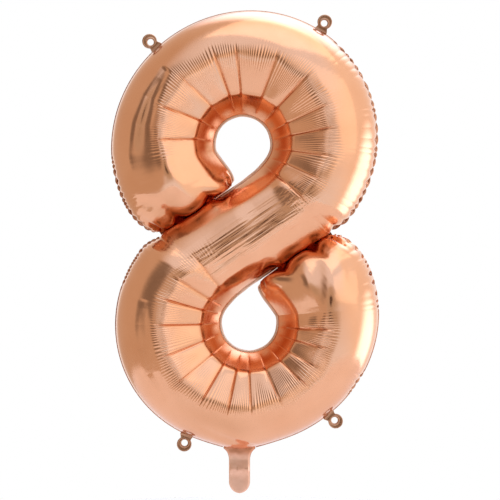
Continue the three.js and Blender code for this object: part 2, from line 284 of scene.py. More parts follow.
def lobe_radius(lobe):
    def radius_at(angles):
        shift = lobe["shift"] * np.cos(angles - math.radians(lobe["shift_at"]))
        egg = lobe["egg"] * np.cos(2 * (angles - math.radians(lobe["egg_at"])))
        drawn = lobe["draw"] * hill(np.degrees(angles), DRAW_AT, DRAW_SPREAD)
        return lobe["radius"] + shift + egg + drawn

    return radius_at


def half_bays(lobe):
    """The bays of half the tube: the seam on the hole's side and the seam on the far side."""
    lobe_at = lobe_radius(lobe)
    inner_corner = waist_point(ARM_INNER, WAIST_HALF_WIDTH + ARM_GAP)
    outer_corner = waist_point(ARM_OUTER, WAIST_HALF_WIDTH + ARM_GAP)
    hole_arm = arc(hole_radius, HANDOVER["arm_hole"], 180)
    lobe_arm = arc(lobe_at, HANDOVER["arm_lobe"], 180)
    hole_bend = arc(hole_radius, 0, HANDOVER["bend_hole"])
    lobe_bend = arc(lobe_at, 0, HANDOVER["bend_lobe"])
    upper_edge = waist_point(WAIST_STRAIGHT, WAIST_HALF_WIDTH)
    edge_out = waist_point(LOBE_EDGE, -WAIST_HALF_WIDTH)
    lower_edge = waist_point(WAIST_STRAIGHT, -WAIST_HALF_WIDTH)
    return {
        "arm": (
            joined(join(inner_corner, PULL["inner_corner"], hole_arm[0], PULL["arm_hole"]), hole_arm),
            joined(join(outer_corner, PULL["outer_corner"], lobe_arm[0], PULL["arm_lobe"]), lobe_arm),
        ),
        "ring": (arc(hole_radius, 180, 0, RING_POINTS), arc(lobe_at, 180, 0, RING_POINTS)),
        "bend": (
            joined(hole_bend, join(hole_bend[-1], PULL["bend_hole"], upper_edge, ALONG * EDGE_PULL["hole"])),
            joined(
                lobe_bend,
                join(lobe_bend[-1], PULL["bend_lobe"], edge_out, ALONG * EDGE_PULL["lobe"]),
                np.linspace(edge_out, lower_edge, EDGE_POINTS),
            ),
        ),
        "waist": (
            np.linspace(upper_edge, waist_point(0, WAIST_HALF_WIDTH), WAIST_POINTS),
            np.linspace(lower_edge, waist_point(0, -WAIST_HALF_WIDTH), WAIST_POINTS),
        ),
    }


# Each half of the balloon, in its own frame: creases in degrees round its hole, the ridge outside
# the facets as a distance from the hole's middle, the puckers along its outer seam (from and to in
# degrees, depth, pitch, and how far the foil hides the seal) and its soft folds. A fold runs through
# places given as degrees, distance from the hole and half width.
UPPER = {
    "bays": half_bays(UPPER_LOBE),
    "turn": 1,
    "creases": (-61, -44, -27, -10, 8, 23, 45, 68, 94, 108, 134, 157, 180, 203),
    "ridge": Ridge(158, 8, 65),
    "puckers": (Puckers(-46, 46, 2.9, 19, 0), Puckers(188, 236, 2.8, 13, 0)),
    "folds": (
        Fold(9, 1.2, ((138, 198, 8), (155, 190, 14), (171, 187, 21), (188, 188, 30), (203, 194, 32),
                      (212, 208, 24))),
        Fold(5, 1.2, ((208.5, 232, 12), (214, 218, 15), (219, 203, 12))),
        Fold(4, 1.3, ((217, 196, 12), (222, 208, 15), (227, 220, 12))),
    ),
}
LOWER = {
    "bays": half_bays(LOWER_LOBE),
    "turn": -1,
    "creases": (-70, -52, -33, -17, 0, 20, 39, 58, 76, 92, 113, 134, 149, 164, 178, 193),
    "ridge": Ridge(152, 11, 18),
    "puckers": (
        Puckers(-47, -18, 1.6, 9, 0.3),
        Puckers(188, 232, 3.6, 17, 1.35),
        Puckers(146, 155, 2.2, 12, 0),
    ),
    "folds": (
        Fold(6, 1.4, ((226, 186, 10), (221, 172, 20), (210, 150, 24), (196, 134, 22), (180, 130, 10))),
        Fold(3, 1.4, ((222, 236, 12), (210, 222, 18), (198, 206, 14))),
        Fold(5, 1.4, ((-12, 204, 8), (0, 200, 15), (12, 201, 17), (26, 205, 12), (44, 212, 8))),
        Fold(3, 1.4, ((60, 214, 5), (75, 222, 10), (88, 232, 8), (96, 240, 5))),
    ),
}


def placed(half, points):
    return points * half["turn"] + WAIST


# ---- the foil panels

def row_swings():
    """The rows' places as angles round half the tube, from the hole's seam to the far seam."""
    v = np.linspace(0, 1, ROWS + 1)
    crowded = v - ROW_CROWDING * np.sin(2 * math.pi * v) / (2 * math.pi)
    return crowded * math.pi


def chords(half):
    """Every chord across half the tube, from the arm's end to the middle of the waist.

    Gives the seam points, how far the arm's end lifts the foil, the share of the arm passed
    and how much of the wall beside the hole there is.
    """
    hole, far, lift, share, walled = [], [], [], [], []
    for name, (hole_line, far_line) in half["bays"].items():
        steps = np.linspace(0, 1, COLUMNS[name] + 1)
        rise = np.ones_like(steps)
        if name == "arm":
            swing = np.minimum(steps / ARM_CAP, 1) * math.pi / 2
            rise = np.sin(swing) ** ARM_FULLNESS
            steps = np.where(steps < ARM_CAP, ARM_CAP * (1 - np.cos(swing)), steps)
        first = 1 if hole else 0
        hole.append(at_shares(hole_line, steps)[first:])
        far.append(at_shares(far_line, steps)[first:])
        lift.append(rise[first:])
        share.append((steps if name == "arm" else steps + 1)[first:])
        faded = {
            "arm": smooth(steps, 0.0, 0.3),
            "bend": 1 - 0.6 * smooth(steps, 0.4, 1),
            "waist": 0.4 * (1 - smooth(steps, 0, 1)),
        }
        walled.append(faded.get(name, np.ones_like(steps))[first:])
    return tuple(np.concatenate(part) for part in (hole, far, lift, share, walled))


def polar(points):
    """Angle in degrees, running on past 180 round the arm, and distance from the half's hole."""
    way = points - HOLE_OFFSET
    angle = np.degrees(np.arctan2(way[..., 1], way[..., 0]))
    return np.where(angle < -95, angle + 360, angle), np.linalg.norm(way, axis=-1)


def ridge_radius(half, angle):
    ridge = half["ridge"]
    return ridge.mean + ridge.swell * np.cos(np.radians(angle - ridge.swell_at))


def crease_place(angle, distance):
    """The angle that counts for the creases, which are not all square to the seam."""
    turned = np.clip((angle - CREASE_LEAN["from"]) / CREASE_LEAN["over"], 0, 1)
    lean = CREASE_LEAN["degrees"] * turned * (1 - (distance - CREASE_LEAN["pivot"]) / CREASE_LEAN["reach"])
    return angle + np.clip(lean, *CREASE_LEAN["limits"])


def facet_of(half, angle, distance):
    """Each point's facet: its number, half its width, how far off its middle, and how much it shows."""
    creases = np.array(half["creases"], dtype=float)
    place = crease_place(angle, distance)
    index = np.clip(np.searchsorted(creases, place) - 1, 0, len(creases) - 2)
    start, end = creases[index], creases[index + 1]
    half_width = (end - start) / 2
    off = np.clip(place - (start + end) / 2, -half_width, half_width)
    first, last = creases[0], creases[-1]
    fade = smooth(place, first, first + FACETS_FADE_IN) * (1 - smooth(place, last - FACETS_FADE_OUT, last))
    return index, half_width, off, fade


def facets(half, angle, from_seam, width, round_depth, looks):
    """The flat facets round the hole and the wall below them.

    Gives how far the foil moves towards the hole, its new depth, the creases' depth, the radius
    measured square to the facet, how much there is of the facets and the painted shade for lying in a fold.
    """
    distance = HOLE_RADIUS + from_seam
    index, half_width, off, fade = facet_of(half, angle, distance)
    share = off / half_width
    chord = 1 + (np.cos(np.radians(half_width)) / np.cos(np.radians(off)) - 1) * fade
    flat_radius = distance / chord
    ridge = ridge_radius(half, angle)
    beyond = flat_radius - ridge
    pull = smooth(distance, HOLE_RADIUS, FLAT_FROM) * (1 - smooth(beyond, *FLAT_ENDS))
    inward = distance * (1 - chord) * pull

    wall_top = WALL_SLOPE * WALL_WIDTH
    wall_end = HOLE_RADIUS + WALL_WIDTH
    ridge_share = np.clip((ridge - HOLE_RADIUS) / width, 0, 1)
    ridge_height = RIM + width * DEPTH_RATIO * 2 * np.sqrt(ridge_share * (1 - ridge_share))
    v = np.clip((flat_radius - wall_end) / (ridge - wall_end), 0, 1)
    swell = looks["bulge"][index] * (1 - 0.6 * share**2) + looks["tilt"][index] * share * (1 - share**2)
    facet = wall_top + (ridge_height - wall_top) * v + 4 * v * (1 - v) * fade * swell
    counts = 1 - smooth(beyond, *ROUND_STARTS)
    level = np.minimum(RIM + WALL_SLOPE * from_seam, round_depth + (facet - round_depth) * counts)

    gap = np.radians(half_width - np.abs(off)) * distance
    deep = looks["crease"][index + (share > 0)]
    deep = deep * smooth(distance, *CREASE_STARTS) * (1 - smooth(beyond, *CREASE_ENDS))
    groove = CREASE_DEPTH * deep * np.exp(-gap / CREASE_WIDTH) * fade
    # Painted shade: colour darkened along the creases, in a pocket round the hole and down its wall.
    line = CREASE_PAINTED_SHADE * deep * np.exp(-gap / (1.6 * CREASE_WIDTH))
    pocket_shade = POCKET_PAINTED_SHADE[0] * hill(distance, *POCKET_PAINTED_SHADE[1:])
    shadow = WALL_PAINTED_SHADE[0] * hill(from_seam, *WALL_PAINTED_SHADE[1:])
    painted_shade = np.maximum(line, np.maximum(pocket_shade, shadow)) * fade
    return inward, level, groove, flat_radius, fade, painted_shade


def ripples(half, angle, flat_radius, fade, seed):
    """Fine gathers that run across the ridge outside the facets."""
    rng = np.random.default_rng(seed)
    turned = np.radians(angle)
    phase = turned * half["ridge"].mean / RIPPLE_PITCH
    for size, turns in RIPPLE_DRIFTS:
        phase = phase + size * np.sin(turned * turns + rng.uniform(0, ANY_PHASE))
    crest = 0.5 + 0.5 * np.cos(2 * math.pi * phase)
    strength = 0.85 + 0.15 * np.sin(turned * 31 + rng.uniform(0, ANY_PHASE))
    beyond = flat_radius - ridge_radius(half, angle)
    ends = RIPPLE_END + RIPPLE_END_VARIES * np.sin(turned * 13 + rng.uniform(0, ANY_PHASE))
    outward = 1 - smooth(beyond, 0.45 * ends, ends)
    inward = 0.3 * smooth(beyond, -60, -25) + 0.7 * smooth(beyond, -24, -6)
    return RIPPLE_HEIGHT * crest * strength * outward * inward * fade


def fold_bowl(fold, point):
    """1 along a fold's line and 0 beyond its half width, tapering towards both its ends."""
    corners = [unit(degrees) * distance for degrees, distance, _ in fold.places]
    widths = [width for _, _, width in fold.places]
    deepest = np.zeros(point.shape[:-1])
    for k in range(len(corners) - 1):
        way = corners[k + 1] - corners[k]
        t = np.clip(((point - corners[k]) @ way) / (way @ way), 0, 1)
        gap = np.linalg.norm(point - (corners[k] + t[..., None] * way), axis=-1)
        width = widths[k] + (widths[k + 1] - widths[k]) * t
        run = np.clip((k + t) / (len(corners) - 1), 0.06, 0.94)
        taper = np.sin(math.pi * run) ** 0.6
        deepest = np.maximum(deepest, taper * np.maximum(1 - (gap / width) ** 2, 0) ** fold.sharpness)
    return deepest


def fold_depth(half, angle, distance):
    """How deep the soft folds press the foil in."""
    turned = np.radians(angle)
    point = np.stack([distance * np.cos(turned), distance * np.sin(turned)], axis=-1)
    return sum(fold.depth * fold_bowl(fold, point) for fold in half["folds"])


def pucker_wave(half, line):
    """Along the outer seam: the puckers' depth, their wave (0 at a pinch) and how bare the seal is."""
    angle, _ = polar(line)
    depth = np.full(len(line), SMOOTH_PUCKER)
    pitch = np.full(len(line), SMOOTH_PITCH)
    bare = np.zeros(len(line))
    for run in half["puckers"]:
        inside = smooth(angle, run.start - 4, run.start + 4) * (1 - smooth(angle, run.end - 4, run.end + 4))
        depth += (run.depth - SMOOTH_PUCKER) * inside
        pitch += (run.pitch - SMOOTH_PITCH) * inside
        bare += (1 - run.hidden) * inside
    turned = np.radians(angle)
    depth *= 1 + 0.25 * np.sin(turned * 23 + 2) + 0.15 * np.sin(turned * 57)
    uneven = 1 + 0.3 * np.sin(turned * 17) + 0.2 * np.sin(turned * 41 + 1)
    phase = np.cumsum(np.gradient(lengths(line)) / (pitch * uneven))
    return depth, np.abs(np.sin(math.pi * phase)) ** 0.7, bare


def seam_out(bare):
    """How far the foil's edge stands past the seam's line: not at all where the seal is bare."""
    return SEAM_OUT * (1 - bare)


def slit_shapes(half, share, lift, spread):
    """Beside the slit: the notches' depth, how far the foil swells over, and painted shade in the notches.
    """
    from_end = np.minimum(share, 1) * lengths(half["bays"]["arm"][1])[-1]
    puff = np.abs(np.sin(math.pi * (spread * PUFFS + 0.08 * np.sin(9 * spread)))) ** 0.6
    notch = NOTCH_DEPTH * (1 - puff) * np.exp(-((from_end / NOTCH_REACH) ** 1.6)) * lift**0.5
    notch = notch * np.sin(math.pi * spread) ** 0.3
    most = SLIT_SWELL_MIDDLE + (SLIT_SWELL - SLIT_SWELL_MIDDLE) * (2 * spread - 1) ** 2
    over = most * (0.45 + 0.55 * puff) * hill(from_end, 0, SLIT_SWELL_REACH)
    # Painted shade in the notches between the puffs.
    painted_shade = (0.45 + 0.55 * (1 - puff)) * np.exp(-((from_end / 26) ** 4))
    return notch, over, painted_shade


def half_grid(half, looks):
    """Half a panel: its points in its own frame, their depth, how far they press in and their painted shade.
    """
    hole, far, lift, share, walled = chords(half)
    lift, share, walled = lift[:, None], share[:, None], walled[:, None]
    across = far - hole
    width = np.linalg.norm(across, axis=1)[:, None]
    across = (across / width)[:, None, :]
    swings = row_swings()
    spread = np.linspace(0, 1, ROWS + 1)
    from_seam = width * (1 - np.cos(swings)) / 2
    plan = hole[:, None, :] + across * from_seam[..., None]
    bow = ARM_BOW * (1 - (2 * spread - 1) ** 2)
    plan = plan - SQUARE * ((1 - lift) * bow)[..., None]
    depth = RIM + width * DEPTH_RATIO * np.sin(swings)
    angle, distance = polar(plan)

    found = facets(half, angle, from_seam, width, depth, looks)
    inward, level, groove, flat_radius, fade, painted_shade = found
    plan = plan - (plan - HOLE_OFFSET) * (inward / distance)[..., None]
    edge = np.sin(swings) ** 0.5
    depth = depth + (level - depth) * walled - groove * edge
    depth = RIM + (depth - RIM) * lift

    # Puckers draw the outer seam in and furrow the foil beside it.
    pucker, wave, bare = pucker_wave(half, far)
    girth = (math.pi - swings) * width / 2
    pinch = (pucker * (1 - wave))[:, None]
    drawn = pinch - seam_out(bare)[:, None]
    plan = plan - across * (drawn * np.exp(-girth / PUCKER_REACH))[..., None]
    furrow = 1.3 * pinch * np.exp(-girth / FURROW_REACH) * smooth(girth, 0, 8)
    # Painted shade in the pinches of the puckers.
    pinch_painted_shade = 0.5 * pinch * np.clip(bare, 0.1, 1)[:, None] * np.exp(-girth / 9)

    # The arm's end swells over the slit and gathers into puffs along it.
    notch, over, slit_painted_shade = slit_shapes(half, share, lift, spread)
    over = over * smooth(depth, 0, 26) * np.sin(swings) ** 0.4
    plan = plan - SQUARE * over[..., None]

    press = furrow + notch + ripples(half, angle, flat_radius, fade, looks["seed"])
    press = press + fold_depth(half, angle, distance) * lift * edge
    return plan, depth, press, np.maximum(painted_shade, np.maximum(slit_painted_shade, pinch_painted_shade))


def facet_looks(half):
    """Random differences between a half's facets and creases."""
    count = len(half["creases"])
    return {
        "seed": int(RNG.integers(1000)),
        "bulge": RNG.uniform(-1.5, 2.2, count),
        "tilt": RNG.uniform(-3.6, 3.6, count),
        "crease": RNG.uniform(0.6, 1.25, count + 1),
    }


def panel_grid(side):
    """The whole panel's points and painted shade, from arm's end to arm's end."""
    parts = []
    for half in (UPPER, LOWER):
        plan, depth, press, painted_shade = half_grid(half, facet_looks(half))
        parts.append([placed(half, plan), depth, press, painted_shade])
    upper, lower = parts
    lower = [part[:-1][::-1, ::-1] for part in lower]
    plan, depth, press, painted_shade = (np.concatenate([a, b]) for a, b in zip(upper, lower))
    plan = plan + waist_swell(plan, depth)
    points = np.stack([plan[..., 0], side * depth, plan[..., 1]], axis=-1)
    normal = np.cross(np.gradient(points, axis=0), np.gradient(points, axis=1))
    normal /= np.linalg.norm(normal, axis=-1, keepdims=True) + NEAR_ZERO
    normal *= np.sign(normal[..., 1:2] * side + NEAR_ZERO)
    moved = points - normal * (press + waist_streaks(plan))[..., None]
    moved[..., 1] = side * np.maximum(moved[..., 1] * side, RIM)
    return press_slits(moved), np.maximum(painted_shade, waist_painted_shade(plan))


def arm_columns(points):
    """Which columns of a whole panel's grid belong to the arms."""
    columns = np.arange(points.shape[0])[:, None]
    return (columns <= COLUMNS["arm"]) | (columns >= points.shape[0] - 1 - COLUMNS["arm"])


def press_slits(points):
    """Where the arms' ends and the waist swell over the slits they press flat on each other."""
    plan = points[..., [0, 2]]
    along, square = waist_frame(plan)
    side = np.sign(square)
    v = (along * side - ARM_INNER) / (ARM_OUTER - ARM_INNER)
    gap = ARM_GAP - ARM_BOW * np.clip(1 - (2 * v - 1) ** 2, 0, 1)
    contact = WAIST_HALF_WIDTH + SLIT_CONTACT * gap
    rise = np.abs(square)
    arm = np.maximum(rise, contact + SLIT_CLEARANCE)
    waist = np.minimum(rise, contact - SLIT_CLEARANCE)
    pressed = np.where(arm_columns(points), arm, waist)
    beside = (v > 0.02) & (v < 1.1) & (np.abs(rise - contact) < PRESS_REACH)
    plan = plan + SQUARE * np.where(beside, (pressed - rise) * side, 0)[..., None]
    return np.stack([plan[..., 0], points[..., 1], plan[..., 1]], axis=-1)


def waist_swell(plan, depth):
    """The waist swells over the slit on each side."""
    along, square = waist_frame(plan)
    side = np.sign(square)
    beside = smooth(-along * side, 0, 25) * (1 - smooth(-along * side, 125, 150))
    near = hill(np.abs(square), WAIST_HALF_WIDTH, WAIST_SWELL_REACH) * smooth(depth, 0.5, 24)
    return SQUARE * (side * beside * near * WAIST_SWELL * ~arm_columns(plan))[..., None]


def waist_painted_shade(plan):
    """Painted shade on the foil beside each slit, where it faces its neighbour."""
    along, square = waist_frame(plan)
    side = np.sign(square)
    beside = smooth(-along * side, -70, -20) * (1 - smooth(-along * side, 125, 150))
    return WAIST_EDGE_PAINTED_SHADE * beside * hill(np.abs(square), WAIST_HALF_WIDTH, 16)


def waist_streaks(plan):
    """Long soft waves and one soft crease that run along the waist."""
    along, square = waist_frame(plan)
    inside = (1 - smooth(np.abs(square), 60, 84)) * (1 - smooth(np.abs(along), 95, 165))
    bend = square + 0.06 * along
    wave = 0.7 * np.sin(bend / 9.5 + 0.6) + 0.45 * np.sin(bend / 5.6 + along / 90 + 2.0)
    crease = 2.6 * np.exp(-np.abs(bend + 18 - along / 14) / 6)
    return (wave + crease * (1 - smooth(np.abs(along + 30), 40, 110))) * inside


def streak_share(plan):
    """How much the fine streaks along the waist show at each point."""
    along, square = waist_frame(plan)
    return (1 - smooth(np.abs(along), 90, 190)) * (1 - smooth(np.abs(square + 4), 22, 52))


def mesh_object(name, points, faces):
    mesh = bpy.data.meshes.new(name)
    mesh.from_pydata((np.reshape(points, (-1, 3)) * MM).tolist(), [], faces)
    mesh.update()
    piece = bpy.data.objects.new(name, mesh)
    bpy.context.scene.collection.objects.link(piece)
    return piece


def grid_numbers(points):
    """The numbers of a grid's points, in the grid's own columns and rows."""
    columns, rows = points.shape[:2]
    return np.arange(columns * rows).reshape(columns, rows)


def quads_of(*corners):
    return np.stack(corners, axis=-1).reshape(-1, 4).tolist()


def grid_mesh(name, points, side):
    """A smooth mesh from a grid of points, with its faces out on the given side."""
    index = grid_numbers(points)
    corners = [index[:-1, :-1], index[:-1, 1:], index[1:, 1:], index[1:, :-1]]
    if side > 0:
        corners.reverse()
    piece = mesh_object(name, points, quads_of(*corners))
    piece.data.shade_smooth()
    return piece


def give_values(piece, name, values):
    """A number for each point of a mesh, for its material to read."""
    attribute = piece.data.attributes.new(name, "FLOAT", "POINT")
    attribute.data.foreach_set("value", np.clip(values, 0, 1).astype(np.float32).ravel())


def add_panel(name, side, node):
    points, painted_shade = panel_grid(side)
    piece = grid_mesh(name, points, side)
    # painted shade in the folds, for the material to read
    give_values(piece, "painted_fold_shade", painted_shade)
    give_values(piece, "streaks", streak_share(points[..., [0, 2]]))
    finish(piece, rose_gold_foil(), "envelope", "rose_gold_foil", node)


def finish(piece, material, body, slot, *nodes):
    piece.data.materials.append(material)
    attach(piece, body)
    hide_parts(*nodes)


# ---- seals

SEAL_HALF = 0.45
SEAL_INSIDE = 3
OUTER_SEAL = 3.8
HOLE_SEAL = 4.2
SEAL_STEP = 1.3
SEAL_POINTS = 300
OUTER_SEAL_FROM = 0.02  # share of the arm's bay where the outer seal starts
OUTER_SEAL_TO = 0.66  # share of the bend where it ends, at the other slit
HOLE_SEAL_ON_ARM = (0.32, 0.02)  # shares of the arm's end, from the slit to the hole
HOLE_SEAL_END = -17  # along the waist, inside the slit
SLIT_POINTS = 40
SEAL_EDGE_THINNING = 0.55
BESIDE_TAIL = 60


def closed_strip(name, points):
    """A closed body from sections of points, one after another, with flat ends."""
    index = grid_numbers(points)
    after = np.roll(index, -1, axis=1)
    faces = quads_of(index[:-1], after[:-1], after[1:], index[1:])
    return mesh_object(name, points, faces + [index[0][::-1].tolist(), index[-1].tolist()])


def band(name, line, inner, outer, wave):
    """A closed strip of fused foil along a line, from its inner to its outer edge."""
    out = right_of(line)
    shares = np.linspace(0, 1, 5)
    section = []
    for face, order in ((-1, shares), (1, shares[::-1])):
        for share in order:
            flat = line + out * (inner + (outer - inner) * share)[:, None]
            thick = SEAL_HALF * (1 - SEAL_EDGE_THINNING * smooth(share, 0.7, 1.0))
            section.append(np.stack([flat[:, 0], face * thick + wave * share**1.5, flat[:, 1]], axis=1))
    piece = closed_strip(name, np.stack(section, axis=1))
    piece.data.shade_smooth()
    return piece


def outer_line(half):
    arm, ring, bend = (half["bays"][name][1] for name in ("arm", "ring", "bend"))
    arm = at_shares(arm, np.linspace(OUTER_SEAL_FROM, 1, SEAL_POINTS))
    bend = at_shares(bend, np.linspace(0, OUTER_SEAL_TO, SEAL_POINTS))
    return evenly(joined(arm, ring, bend), SEAL_STEP)


def outer_border(half):
    """The puckered outer seam of a half: its line, how far it reaches out and its waves."""
    line = outer_line(half)
    depth, wave, bare = pucker_wave(half, line)
    drawn = line + right_of(line) * (depth * (1 - wave) - seam_out(bare))[:, None]
    strong = np.clip(depth / 2.0, 0, 1)
    reach = np.maximum(OUTER_SEAL - seam_out(bare) - 1.6 * strong * (1 - wave), 0.15)
    flutter = strong * 1.3 * np.sin(0.37 * np.arange(1, len(line) + 1))
    return placed(half, drawn), -reach, flutter


def add_outer_seals():
    for half, part, name, node in (
        (UPPER, "whole", "upper_outer_flange", "upper_outer_seal"),
        (LOWER, "before", "lower_right_outer_flange", "lower_right_outer_seal"),
        (LOWER, "after", "lower_left_outer_flange", "lower_left_outer_seal"),
    ):
        line, reach, flutter = outer_border(half)
        keep = slice(None) if part == "whole" else run_beside_tail(line, part)
        inside = np.full(len(line), float(SEAL_INSIDE))
        piece = band(name, line[keep], inside[keep], reach[keep], flutter[keep])
        finish(piece, sealed_foil(), "envelope", "sealed_foil", node)


def run_beside_tail(line, part):
    """The part of the lower outer seam before or after the tail's passage."""
    low, high = (np.array(corner)[[0, 2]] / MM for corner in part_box("tail_front_film"))
    middle = (low[0] + high[0]) / 2
    half_width = (high[0] - low[0]) / 2
    beside = (np.abs(line[:, 0] - middle) < half_width) & (line[:, 1] < high[1] + BESIDE_TAIL)
    found = np.flatnonzero(beside)
    return slice(0, found[0]) if part == "before" else slice(found[-1] + 1, None)


def hole_line(half):
    """The seam round a hole, with both its ends running on into the slit."""
    arm, ring, bend = (half["bays"][name][0] for name in ("arm", "ring", "bend"))
    v = np.linspace(*HOLE_SEAL_ON_ARM, SLIT_POINTS)[:, None]
    along = ARM_INNER + (ARM_OUTER - ARM_INNER) * v
    bow = ARM_BOW * (1 - (2 * v - 1) ** 2)
    arm_end = ALONG * along + SQUARE * (WAIST_HALF_WIDTH + ARM_GAP - bow)
    slit_start = waist_point(WAIST_STRAIGHT - 1, WAIST_HALF_WIDTH)
    slit_end = waist_point(HOLE_SEAL_END, WAIST_HALF_WIDTH)
    slit = np.linspace(slit_start, slit_end, SLIT_POINTS)
    return evenly(joined(arm_end, arm, ring, bend, slit), SEAL_STEP)


def add_hole_seals():
    for half, name, node in (
        (UPPER, "upper_hole_flange", "upper_hole_seal"),
        (LOWER, "lower_hole_flange", "lower_hole_seal"),
    ):
        line = hole_line(half)
        steps = np.arange(len(line))
        wobble = 0.5 * np.sin(steps * 0.21) * np.sin(steps * 0.047)
        inside = np.full(len(line), -float(SEAL_INSIDE))
        piece = band(name, placed(half, line), inside, HOLE_SEAL + 0.5 * wobble, wobble)
        finish(piece, hole_rim_foil(), "envelope", "sealed_foil", node)


# ---- hanging tabs

TAB_DISC_RADIUS = 14.3
TAB_HOLE_RADIUS = 6.3
TAB_DISC_BEYOND = 2.8  # from the hole's middle to the disc's
TAB_NECK = 9.8
TAB_ROOT = 13.5
TAB_FLARE = 9
TAB_INTO_SEAL = 2.5
TAB_EDGE_HALF = 0.25
TAB_SIDES = 120
TAB_RINGS = 15
TAB_SEARCH = (40, 700)  # how far out, and in how many steps


def tab_reaches(angles, hole_up):
    """Distance from the tab's hole to its outline in each direction."""
    steps = np.linspace(TAB_HOLE_RADIUS, *TAB_SEARCH)
    x = steps[None, :] * np.cos(angles)[:, None]
    y = steps[None, :] * np.sin(angles)[:, None] + hole_up
    in_disc = x**2 + (y - hole_up - TAB_DISC_BEYOND) ** 2 <= TAB_DISC_RADIUS**2
    flare = np.clip(1 - y / TAB_FLARE, 0, 1) ** 2
    half_neck = TAB_NECK + (TAB_ROOT - TAB_NECK) * flare
    in_neck = (np.abs(x) <= half_neck) & (y >= -TAB_INTO_SEAL) & (y <= hole_up)
    inside = in_disc | in_neck
    last = inside.shape[1] - 1 - np.argmax(inside[:, ::-1], axis=1)
    reach = steps[last]
    for _ in range(2):
        reach = (np.roll(reach, 1) + 2 * reach + np.roll(reach, -1)) / 4
    return reach


def tab_half_thickness(r, reach, share, y):
    """Thin film with a bead round the hole and one along the outline, thicker at the root."""
    bead = 0.75 * hill(r, TAB_HOLE_RADIUS + 2.0, 1.1) + 0.45 * hill(reach - r, 1.4, 0.8)
    rounding = math.sin(math.pi * min(share * 6, 1) / 2) * min((1 - share) * 8, 1)
    return TAB_EDGE_HALF + 0.2 * rounding + 0.5 * (1 - smooth(y, -1, 4)) + bead


def add_tab(name):
    """A punched tab: a flat neck and a ring with a bead round its hole."""
    root = joint_place(name + "_tab")[[0, 2]] / MM
    hole = opening_middle(name + "_tab_hole")
    hole_up = np.linalg.norm(hole - root)
    up = (hole - root) / hole_up
    side = np.array([up[1], -up[0]])
    angles = np.linspace(0, 2 * math.pi, TAB_SIDES, endpoint=False)
    reach = tab_reaches(angles, hole_up)
    shares = np.linspace(0, 1, TAB_RINGS)
    section = []
    for face, order in ((-1, shares), (1, shares[::-1])):
        for share in order:
            r = TAB_HOLE_RADIUS + (reach - TAB_HOLE_RADIUS) * share
            x = r * np.cos(angles)
            y = r * np.sin(angles) + hole_up
            warp = 0.5 * np.sin(2 * angles + 0.7) * (r - TAB_HOLE_RADIUS) / 12 * smooth(y, 0, 8)
            depth = face * tab_half_thickness(r, reach, share, y) + warp
            flat = root + side * x[:, None] + up * y[:, None]
            section.append(np.stack([flat[:, 0], depth, flat[:, 1]], axis=1))
    points = np.stack(section, axis=1)
    index = grid_numbers(points)
    around, after = np.roll(index, -1, axis=0), np.roll(index, -1, axis=1)
    faces = quads_of(index, around, np.roll(around, -1, axis=1), after)
    piece = mesh_object(name + "_punched_tab", points, faces)
    piece.data.shade_smooth()
    finish(piece, tab_foil(), name + "_tab", "sealed_foil", name + "_hanging_tab")


# ---- tail

TAIL_COLUMNS = 56
TAIL_ROWS = 130
TAIL_HALF_WIDTH = 20.5
TAIL_FLARE = 24
TAIL_ROUND = 23
TAIL_INTO_BODY = 6
TAIL_HALF_GAP = 0.5
TAIL_BULGE = 1.6
CRINKLES = 26
CRINKLE_HEIGHT = 0.8
CRINKLED_AT = (47, 9)  # above the tail's end, and half of the height that it takes up
VALVE_ROWS = 60


def tail_half_width(z, low, high, root_half):
    """Half the tail's width at a height: flared at its root, rounded at its end."""
    flare = np.clip((z - (high - TAIL_FLARE)) / TAIL_FLARE, 0, 1)
    width = TAIL_HALF_WIDTH + (root_half - TAIL_HALF_WIDTH) * flare**3
    round_part = np.clip((low + TAIL_ROUND - z) / TAIL_ROUND, 0, 1)
    return width * np.sqrt(np.maximum(1 - round_part**2, 0.0004))


def crinkles(x, heights, seed):
    """Sharp folds in all directions, as in creased film pulled flat again."""
    rng = np.random.default_rng(seed)
    total = np.zeros_like(x)
    for _ in range(CRINKLES):
        way = unit(rng.uniform(0, 180))
        bend = rng.uniform(1, 3) * np.sin((x * way[1] - heights * way[0]) / rng.uniform(3, 8))
        phase = (x * way[0] + heights * way[1] + bend) / rng.uniform(2.6, 7.0)
        total += np.abs(np.sin(phase + rng.uniform(0, ANY_PHASE))) * rng.uniform(0.04, 0.18)
    return total


def add_tail_film(name, side, node):
    low, high = (np.array(corner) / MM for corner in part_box(node))
    middle = (low[0] + high[0]) / 2
    z = np.linspace(low[2], high[2] + TAIL_INTO_BODY, TAIL_ROWS)
    half = tail_half_width(z, low[2], high[2], (high[0] - low[0]) / 2)
    v = np.linspace(-1, 1, TAIL_COLUMNS)
    x = middle + half[:, None] * v
    heights = np.repeat(z[:, None], TAIL_COLUMNS, axis=1)
    rumpled = hill(heights - low[2], *CRINKLED_AT) + 0.5 * smooth(heights, high[2] - 22, high[2] - 8)
    crinkle = CRINKLE_HEIGHT * crinkles(x, heights, 31 + side) * (0.12 + rumpled)
    inside_seal = smooth(1 - np.abs(v), 0.03, 0.17)
    bulge = TAIL_BULGE * (0.4 + 0.6 * np.cos(v * 1.4))
    depth = TAIL_HALF_GAP + inside_seal * (bulge + crinkle)
    piece = grid_mesh(name, np.stack([x, side * depth, heights], axis=-1), -side)
    # Painted shade near the tail's root, where it faces down under the lobe.
    give_values(piece, "painted_fold_shade", 0.6 * smooth(heights, high[2] - 20, high[2] - 4))
    bend_with_tail(piece, tail_foil(), node)


def bend_with_tail(piece, material, node):
    """Gives the film its material, bakes its placing into the mesh and hides the CAD node."""
    piece.data.materials.append(material)
    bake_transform(piece)
    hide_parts(node)


